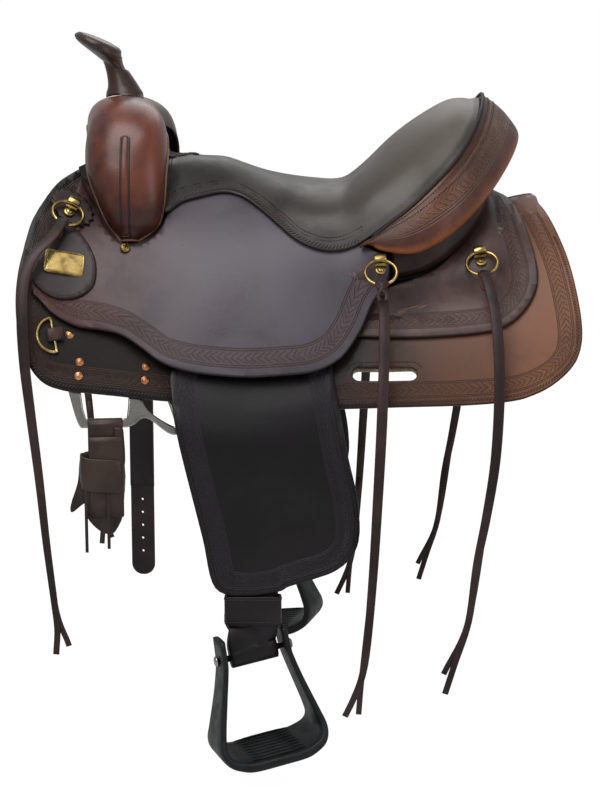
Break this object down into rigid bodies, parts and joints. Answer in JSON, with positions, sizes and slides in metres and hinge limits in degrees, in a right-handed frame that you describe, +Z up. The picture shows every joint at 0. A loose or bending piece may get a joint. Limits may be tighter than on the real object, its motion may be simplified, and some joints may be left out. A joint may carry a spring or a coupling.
{
  "type": "western trail saddle",
  "caption": "Western trail saddle with padded seat, horn, rolled cantle, tooled skirts, fenders and deep moulded stirrups, strings on brass rings.",
  "frame": {"origin": "on the horse's back, on the centre line, half way along the skirts", "axes": "+X towards the cantle, -Y the near side that the picture shows, +Z up"},
  "size_m": [0.6981, 0.6738, 0.9005],
  "materials": {
    "dark_brown": "oiled leather with a dull sheen",
    "red_brown": "burnished leather, darker towards its edges",
    "tan_brown": "burnished leather, lighter at the rim",
    "seat_black": "smooth soft leather, semi-matte",
    "fender_black": "dark oiled leather",
    "lace_brown": "cut leather lace, matte",
    "fleece": "cream wool pile",
    "tree_wood": "rawhide-covered wood",
    "moulded_black": "satin moulded plastic",
    "steel": "satin stainless steel",
    "brass": "polished brass"
  },
  "bodies": {
    "saddle": {"cantle_back": "dark_brown", "cantle_roll": "tan_brown", "dee_keeper_left": "dark_brown", "dee_keeper_right": "dark_brown", "fleece_left": "fleece", "fleece_right": "fleece", "ground_seat": "tan_brown", "horn_cap": "red_brown", "horn_neck": "red_brown", "rear_jockey_left": "dark_brown", "rear_jockey_right": "dark_brown", "rigging_plate_left": "steel", "rigging_plate_right": "steel", "ring_clip_front_left": "brass", "ring_clip_front_right": "brass", "ring_clip_middle_left": "brass", "ring_clip_middle_right": "brass", "ring_clip_rear_left": "brass", "ring_clip_rear_right": "brass", "rosette_left": "lace_brown", "rosette_right": "lace_brown", "seat_cover": "seat_black", "seat_jockey_left": "dark_brown", "seat_jockey_right": "dark_brown", "skirt_left": "dark_brown", "skirt_right": "dark_brown", "string_front_left": "lace_brown", "string_front_right": "lace_brown", "string_middle_left": "lace_brown", "string_middle_right": "lace_brown", "string_rear_left": "lace_brown", "string_rear_right": "lace_brown", "swell_cover": "red_brown", "swell_screw_left": "brass", "swell_screw_right": "brass", "tag_left": "lace_brown", "tree_bar_left": "tree_wood", "tree_bar_right": "tree_wood", "tree_cantle": "tree_wood", "tree_fork": "tree_wood"},
    "leathers_left": {"stirrup_leather_left": "fender_black", "fender_left": "fender_black", "hobble_strap_left": "fender_black"},
    "stirrup_left": {"stirrup_left": "moulded_black", "stirrup_bolt_left": "steel"},
    "ring_front_left": {"ring_front_left": "brass"},
    "ring_middle_left": {"ring_middle_left": "brass"},
    "ring_rear_left": {"ring_rear_left": "brass"},
    "breast_dee_left": {"breast_dee_left": "brass"},
    "leathers_right": {"stirrup_leather_right": "fender_black", "fender_right": "fender_black", "hobble_strap_right": "fender_black"},
    "stirrup_right": {"stirrup_right": "moulded_black", "stirrup_bolt_right": "steel"},
    "ring_front_right": {"ring_front_right": "brass"},
    "ring_middle_right": {"ring_middle_right": "brass"},
    "ring_rear_right": {"ring_rear_right": "brass"},
    "breast_dee_right": {"breast_dee_right": "brass"},
    "latigo_left": {"latigo_left": "lace_brown"},
    "billet_right": {"billet_right": "fender_black"}
  },
  "joints": [
    {"name": "leathers_swing_left", "type": "hinge", "parent": "saddle", "child": "leathers_left", "pos_m": [-0.058, -0.147, -0.02], "axis": [-0.0923, 0.8781, -0.4695], "range_deg": [-10, 14], "deforming": ["string_middle_left"]},
    {"name": "stirrup_tilt_left", "type": "hinge", "parent": "leathers_left", "child": "stirrup_left", "pos_m": [-0.058, -0.27561, -0.51], "axis": [0.9393, 0.3052, 0.1564], "range_deg": [-16, 16], "deforming": ["string_middle_left"]},
    {"name": "ring_front_lift_left", "type": "hinge", "parent": "saddle", "child": "ring_front_left", "pos_m": [-0.28523, -0.14201, 0.03525], "axis": [-0.9, 0, 0.436], "range_deg": [0, 45], "deforming": ["string_front_left"]},
    {"name": "ring_middle_lift_left", "type": "hinge", "parent": "saddle", "child": "ring_middle_left", "pos_m": [0.09987, -0.18261, -0.03257], "axis": [-0.9994, 0, -0.0336], "range_deg": [0, 45], "deforming": ["string_middle_left"]},
    {"name": "ring_rear_lift_left", "type": "hinge", "parent": "saddle", "child": "ring_rear_left", "pos_m": [0.22646, -0.14992, -0.02522], "axis": [-0.9906, 0, -0.1365], "range_deg": [0, 45], "deforming": ["string_rear_left"]},
    {"name": "breast_dee_lift_left", "type": "hinge", "parent": "saddle", "child": "breast_dee_left", "pos_m": [-0.3005, -0.24518, -0.11711], "axis": [-0.2082, 0.3598, 0.9095], "range_deg": [0, 70]},
    {"name": "leathers_swing_right", "type": "hinge", "parent": "saddle", "child": "leathers_right", "pos_m": [-0.058, 0.147, -0.02], "axis": [0.0923, 0.8781, 0.4695], "range_deg": [-10, 14], "deforming": ["string_middle_right"]},
    {"name": "stirrup_tilt_right", "type": "hinge", "parent": "leathers_right", "child": "stirrup_right", "pos_m": [-0.058, 0.27561, -0.51], "axis": [-0.9393, 0.3052, -0.1564], "range_deg": [-16, 16], "deforming": ["string_middle_right"]},
    {"name": "ring_front_lift_right", "type": "hinge", "parent": "saddle", "child": "ring_front_right", "pos_m": [-0.28523, 0.14201, 0.03525], "axis": [0.9, 0, -0.436], "range_deg": [0, 45], "deforming": ["string_front_right"]},
    {"name": "ring_middle_lift_right", "type": "hinge", "parent": "saddle", "child": "ring_middle_right", "pos_m": [0.09987, 0.18261, -0.03257], "axis": [0.9994, 0, 0.0336], "range_deg": [0, 45], "deforming": ["string_middle_right"]},
    {"name": "ring_rear_lift_right", "type": "hinge", "parent": "saddle", "child": "ring_rear_right", "pos_m": [0.22646, 0.14992, -0.02522], "axis": [0.9906, 0, 0.1365], "range_deg": [0, 45], "deforming": ["string_rear_right"]},
    {"name": "breast_dee_lift_right", "type": "hinge", "parent": "saddle", "child": "breast_dee_right", "pos_m": [-0.3005, 0.24518, -0.11711], "axis": [0.2082, 0.3598, -0.9095], "range_deg": [0, 70]},
    {"name": "latigo_swing_left", "type": "hinge", "parent": "saddle", "child": "latigo_left", "pos_m": [-0.238, -0.25974, -0.2264], "axis": [-0.9951, -0.0987, -0.0015], "range_deg": [-3, 30]},
    {"name": "billet_swing_right", "type": "hinge", "parent": "saddle", "child": "billet_right", "pos_m": [-0.238, 0.25974, -0.2264], "axis": [0.9951, -0.0987, 0.0015], "range_deg": [-3, 30]}
  ]
}
